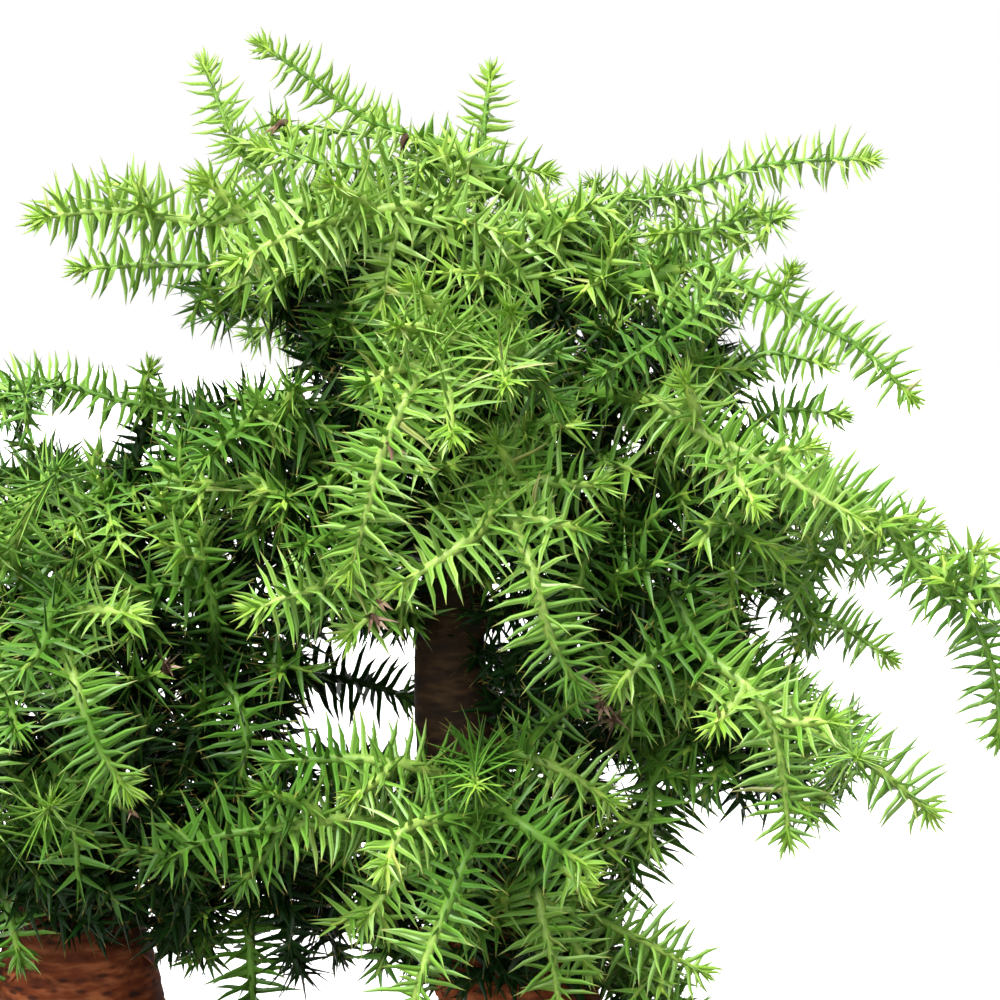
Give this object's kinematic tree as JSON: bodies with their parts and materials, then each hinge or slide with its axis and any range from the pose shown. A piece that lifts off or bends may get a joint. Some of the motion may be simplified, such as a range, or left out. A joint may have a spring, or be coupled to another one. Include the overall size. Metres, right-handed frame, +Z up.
{
  "type": "hoop pine bonsai",
  "caption": "Group bonsai of hoop pines in a shallow stoneware pot: flared trunks, arched limbs and drooping sprays of sharp needles.",
  "frame": {"origin": "on the surface that the pot stands on, under the middle of the whole width and depth", "axes": "+Z up, +X to the right and +Y away from someone who looks at the front"},
  "size_m": [0.3458, 0.2294, 0.3531],
  "materials": {
    "stoneware": "matte",
    "plastic_mesh": "matte",
    "soil": "matte",
    "bark": "matte",
    "foliage": "satin"
  },
  "bodies": {
    "root": {"pot": "stoneware", "drain_mesh_left": "plastic_mesh", "drain_mesh_right": "plastic_mesh", "soil": "soil", "trunk_right": "bark", "trunk_left": "bark", "spray_back_high_1": "foliage", "spray_back_high_2": "foliage", "spray_back_low_1": "foliage", "spray_back_low_2": "foliage", "spray_back_mid_1": "foliage", "spray_back_mid_2": "foliage", "spray_bottom_front": "foliage", "spray_bottom_mid": "foliage", "spray_crown_front_left": "foliage", "spray_crown_left_long": "foliage", "spray_crown_left_under": "foliage", "spray_crown_long": "foliage", "spray_crown_mass": "foliage", "spray_crown_upright": "foliage", "spray_crown_upright_back": "foliage", "spray_front_droop": "foliage", "spray_front_droop_right": "foliage", "spray_front_right_small": "foliage", "spray_front_star": "foliage", "spray_inner_left": "foliage", "spray_left_back_1": "foliage", "spray_left_back_2": "foliage", "spray_left_back_high_1": "foliage", "spray_left_bark_tip": "foliage", "spray_left_bottom_back": "foliage", "spray_left_bottom_hang": "foliage", "spray_left_droop": "foliage", "spray_left_edge": "foliage", "spray_left_inner_cross": "foliage", "spray_left_inner_low": "foliage", "spray_left_low_front": "foliage", "spray_left_low_outer_1": "foliage", "spray_left_outer_1": "foliage", "spray_left_rosette": "foliage", "spray_left_top_branch": "foliage", "spray_low_front_star": "foliage", "spray_low_left_long": "foliage", "spray_low_left_upper": "foliage", "spray_low_right_dark": "foliage", "spray_low_right_front": "foliage", "spray_low_right_tip": "foliage", "spray_mid_left_back_1": "foliage", "spray_mid_left_low": "foliage", "spray_mid_left_small": "foliage", "spray_right_arch": "foliage", "spray_right_back_long": "foliage", "spray_right_back_pair": "foliage", "spray_right_far_arch": "foliage", "spray_right_front_big": "foliage", "spray_right_inner_droop": "foliage", "spray_right_low_back": "foliage", "spray_right_low_front": "foliage", "spray_right_rosette": "foliage", "spray_top_right_hook": "foliage"}
  },
  "joints": []
}
